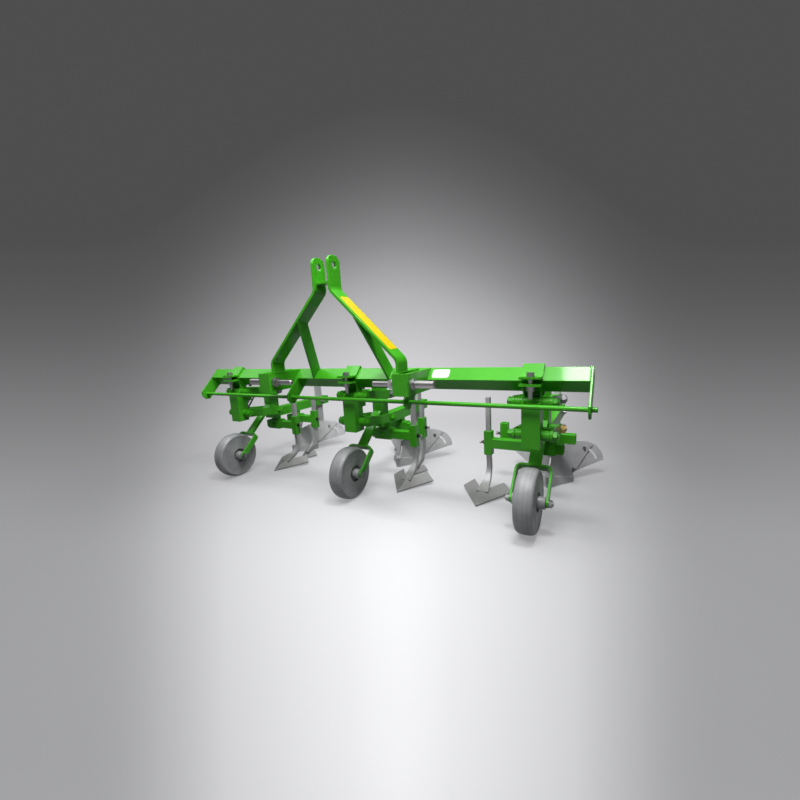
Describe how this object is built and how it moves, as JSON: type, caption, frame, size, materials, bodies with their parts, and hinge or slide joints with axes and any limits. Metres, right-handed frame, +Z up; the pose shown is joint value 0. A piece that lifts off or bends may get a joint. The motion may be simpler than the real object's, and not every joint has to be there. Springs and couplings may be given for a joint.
{
  "type": "tractor-mounted row ridger",
  "caption": "Tractor-mounted ridger with a three-point mast, a square toolbar and parallelogram row units carrying gauge wheels, sweeps and ridging bodies.",
  "frame": {"origin": "middle of the bounding box on the floor", "axes": "+X along the toolbar to the right-hand unit seen from the tractor, +Y to the rear, +Z up"},
  "size_m": [1.903, 0.86, 1],
  "materials": {
    "green_paint": "bright green gloss paint",
    "tool_steel": "grey satin steel",
    "wheel_steel": "smooth rolled steel",
    "zinc": "bright zinc-plated steel"
  },
  "bodies": {
    "frame": {"toolbar": "green_paint", "guard_rod": "green_paint", "end_plate_left": "green_paint", "end_plate_right": "green_paint", "rod_plate_left": "green_paint", "rod_plate_right": "green_paint", "mast_leg_right": "green_paint", "mast_leg_left": "green_paint", "mast_spacer": "green_paint", "mast_brace_right": "green_paint", "mast_brace_left": "green_paint", "hitch_foot_right": "green_paint", "hitch_foot_left": "green_paint", "hitch_pin_right": "zinc", "hitch_pin_left": "zinc", "clamp_left": "green_paint", "column_left": "green_paint", "clamp_middle": "green_paint", "column_middle": "green_paint", "clamp_right": "green_paint", "column_right": "green_paint"},
    "lower_arm_left": {"lower_link_left": "green_paint"},
    "upper_arm_left": {"upper_link_left": "green_paint"},
    "carrier_left": {"carrier_left": "green_paint", "crossbar_front_left": "green_paint", "crossbar_rear_left": "green_paint", "wheel_fork_left": "green_paint", "tine_front_left": "tool_steel", "tine_rear_left": "tool_steel", "ridge_body_left": "tool_steel", "wing_l_left": "tool_steel", "wing_r_left": "tool_steel"},
    "wheel_left": {"gauge_wheel_left": "wheel_steel"},
    "lower_arm_middle": {"lower_link_middle": "green_paint"},
    "upper_arm_middle": {"upper_link_middle": "green_paint"},
    "carrier_middle": {"carrier_middle": "green_paint", "crossbar_front_middle": "green_paint", "crossbar_rear_middle": "green_paint", "wheel_fork_middle": "green_paint", "tine_front_middle": "tool_steel", "tine_rear_middle": "tool_steel", "ridge_body_middle": "tool_steel", "wing_l_middle": "tool_steel", "wing_r_middle": "tool_steel"},
    "wheel_middle": {"gauge_wheel_middle": "wheel_steel"},
    "lower_arm_right": {"lower_link_right": "green_paint"},
    "upper_arm_right": {"upper_link_right": "green_paint"},
    "carrier_right": {"carrier_right": "green_paint", "crossbar_front_right": "green_paint", "crossbar_rear_right": "green_paint", "wheel_fork_right": "green_paint", "tine_front_right": "tool_steel", "ridge_body_right": "tool_steel", "wing_l_right": "tool_steel", "wing_r_right": "tool_steel"},
    "wheel_right": {"gauge_wheel_right": "wheel_steel"}
  },
  "joints": [
    {"name": "lower_lift_left", "type": "hinge", "parent": "frame", "child": "lower_arm_left", "pos_m": [-0.75, -0.2547, 0.325], "axis": [1, 0, 0], "range_deg": [-24, 0]},
    {"name": "upper_lift_left", "type": "hinge", "parent": "frame", "child": "upper_arm_left", "pos_m": [-0.75, -0.2547, 0.44], "axis": [1, 0, 0], "range_deg": [-24, 0]},
    {"name": "carrier_level_left", "type": "hinge", "parent": "lower_arm_left", "child": "carrier_left", "pos_m": [-0.75, -0.0447, 0.3], "axis": [1, 0, 0], "range_deg": [0, 24]},
    {"name": "wheel_spin_left", "type": "hinge", "parent": "carrier_left", "child": "wheel_left", "pos_m": [-0.75, -0.3207, 0.112], "axis": [1, 0, 0], "continuous": true},
    {"name": "lower_lift_middle", "type": "hinge", "parent": "frame", "child": "lower_arm_middle", "pos_m": [0, -0.2547, 0.325], "axis": [1, 0, 0], "range_deg": [-24, 0]},
    {"name": "upper_lift_middle", "type": "hinge", "parent": "frame", "child": "upper_arm_middle", "pos_m": [0, -0.2547, 0.44], "axis": [1, 0, 0], "range_deg": [-24, 0]},
    {"name": "carrier_level_middle", "type": "hinge", "parent": "lower_arm_middle", "child": "carrier_middle", "pos_m": [0, -0.0447, 0.3], "axis": [1, 0, 0], "range_deg": [0, 24]},
    {"name": "wheel_spin_middle", "type": "hinge", "parent": "carrier_middle", "child": "wheel_middle", "pos_m": [0, -0.3207, 0.112], "axis": [1, 0, 0], "continuous": true},
    {"name": "lower_lift_right", "type": "hinge", "parent": "frame", "child": "lower_arm_right", "pos_m": [0.75, -0.2547, 0.325], "axis": [1, 0, 0], "range_deg": [-24, 0]},
    {"name": "upper_lift_right", "type": "hinge", "parent": "frame", "child": "upper_arm_right", "pos_m": [0.75, -0.2547, 0.44], "axis": [1, 0, 0], "range_deg": [-24, 0]},
    {"name": "carrier_level_right", "type": "hinge", "parent": "lower_arm_right", "child": "carrier_right", "pos_m": [0.75, -0.0447, 0.3], "axis": [1, 0, 0], "range_deg": [0, 24]},
    {"name": "wheel_spin_right", "type": "hinge", "parent": "carrier_right", "child": "wheel_right", "pos_m": [0.75, -0.3207, 0.112], "axis": [1, 0, 0], "continuous": true}
  ],
  "couplings": [
    {"joint": "upper_lift_left", "follows": "lower_lift_left", "ratio": 1},
    {"joint": "carrier_level_left", "follows": "lower_lift_left", "ratio": -1},
    {"joint": "upper_lift_middle", "follows": "lower_lift_middle", "ratio": 1},
    {"joint": "carrier_level_middle", "follows": "lower_lift_middle", "ratio": -1},
    {"joint": "upper_lift_right", "follows": "lower_lift_right", "ratio": 1},
    {"joint": "carrier_level_right", "follows": "lower_lift_right", "ratio": -1}
  ]
}
